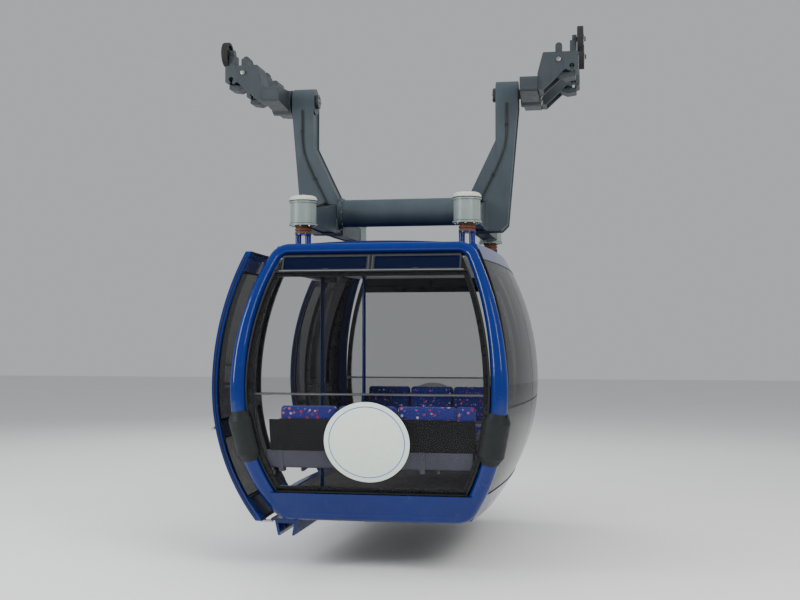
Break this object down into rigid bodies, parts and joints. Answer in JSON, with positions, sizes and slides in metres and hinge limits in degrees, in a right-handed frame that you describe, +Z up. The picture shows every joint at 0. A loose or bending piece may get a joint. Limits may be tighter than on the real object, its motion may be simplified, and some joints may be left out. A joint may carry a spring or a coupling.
{
  "type": "cable car cabin",
  "caption": "Enclosed aerial cabin with bulging glazed walls, open double sliding door and U-shaped bench, hung from a two-rope hanger with cross tube, damper cups and rope grips.",
  "frame": {"origin": "midway between the two ropes, at the ropes' height, over the cabin's middle", "axes": "+Y along the ropes, +Z up, +X towards the closed side; the doorway faces -X"},
  "size_m": [3.444, 3.8436, 4.47],
  "materials": {
    "body_paint": "gloss blue paint",
    "black_frame": "satin black",
    "tinted_glass": "dark tinted glass",
    "aluminium_trim": "satin aluminium",
    "blank_plate": "blank gloss plate",
    "buffer_rubber": "dark grey rubber",
    "hanger_paint": "blue-grey satin paint",
    "cup_paint": "pale grey-green paint",
    "cap_plastic": "off-white plastic",
    "spring_rubber": "brown rubber",
    "roof_panel": "blue paint",
    "ceiling": "matt pale grey",
    "floor_covering": "studded floor covering",
    "frame_metal": "dark grey paint",
    "seat_shell": "black moulded shell",
    "bench_metal": "satin grey paint",
    "seat_fabric": "blue moquette with small specks",
    "steel": "bare steel",
    "grip_metal": "dark blue-grey paint",
    "wheel_tread": "black wheel tread"
  },
  "bodies": {
    "grips": {"rocker_left": "grip_metal", "rocker_right": "grip_metal", "grips_left": "grip_metal", "grips_right": "grip_metal", "grip_levers": "grip_metal", "grip_springs": "steel"},
    "cabin": {"end_frame_near": "body_paint", "end_frame_far": "body_paint", "cantrail_left": "body_paint", "cantrail_right": "body_paint", "sill_left": "body_paint", "sill_right": "body_paint", "window_frame_left": "black_frame", "window_frame_right": "black_frame", "end_window_frame_near": "black_frame", "end_window_frame_far": "black_frame", "side_glass_left": "tinted_glass", "side_glass_right": "tinted_glass", "end_glass_near": "tinted_glass", "end_glass_far": "tinted_glass", "vent_frame_near": "aluminium_trim", "vent_frame_far": "aluminium_trim", "vent_glass": "tinted_glass", "round_plates": "blank_plate", "window_rails": "aluminium_trim", "door_leaf_near": "body_paint", "door_leaf_far": "body_paint", "door_glass": "tinted_glass", "door_rails": "steel", "door_track": "black_frame", "door_arms": "steel", "door_feet": "steel", "step_rail": "body_paint", "roof_panel": "roof_panel", "ceiling_panel": "ceiling", "floor_panel": "floor_covering", "underframe": "frame_metal", "bench_bases": "bench_metal", "bench_cushions": "seat_fabric", "bench_shells": "seat_shell", "bench_backs": "seat_fabric", "grab_poles": "body_paint", "buffer_pads": "buffer_rubber", "roof_lugs": "body_paint", "rubber_springs": "spring_rubber", "damper_cups": "cup_paint", "cup_caps": "cap_plastic", "hanger_arm_left": "hanger_paint", "hanger_arm_right": "hanger_paint", "side_beam_left": "hanger_paint", "side_beam_right": "hanger_paint", "cross_tube": "hanger_paint"},
    "wheel_left_near": {"wheel_left_near": "wheel_tread"},
    "wheel_left_far": {"wheel_left_far": "wheel_tread"},
    "wheel_right_near": {"wheel_right_near": "wheel_tread"},
    "wheel_right_far": {"wheel_right_far": "wheel_tread"}
  },
  "joints": [
    {"name": "cabin_swing", "type": "hinge", "parent": "grips", "child": "cabin", "pos_m": [0, 0, -0.15], "axis": [1, 0, 0], "range_deg": [-20, 20]},
    {"name": "wheel_left_near_spin", "type": "hinge", "parent": "grips", "child": "wheel_left_near", "pos_m": [-1.674, -0.33, 0.265], "axis": [1, 0, 0], "continuous": true},
    {"name": "wheel_left_far_spin", "type": "hinge", "parent": "grips", "child": "wheel_left_far", "pos_m": [-1.674, 0.33, 0.265], "axis": [1, 0, 0], "continuous": true},
    {"name": "wheel_right_near_spin", "type": "hinge", "parent": "grips", "child": "wheel_right_near", "pos_m": [1.674, -0.33, 0.265], "axis": [1, 0, 0], "continuous": true},
    {"name": "wheel_right_far_spin", "type": "hinge", "parent": "grips", "child": "wheel_right_far", "pos_m": [1.674, 0.33, 0.265], "axis": [1, 0, 0], "continuous": true}
  ]
}
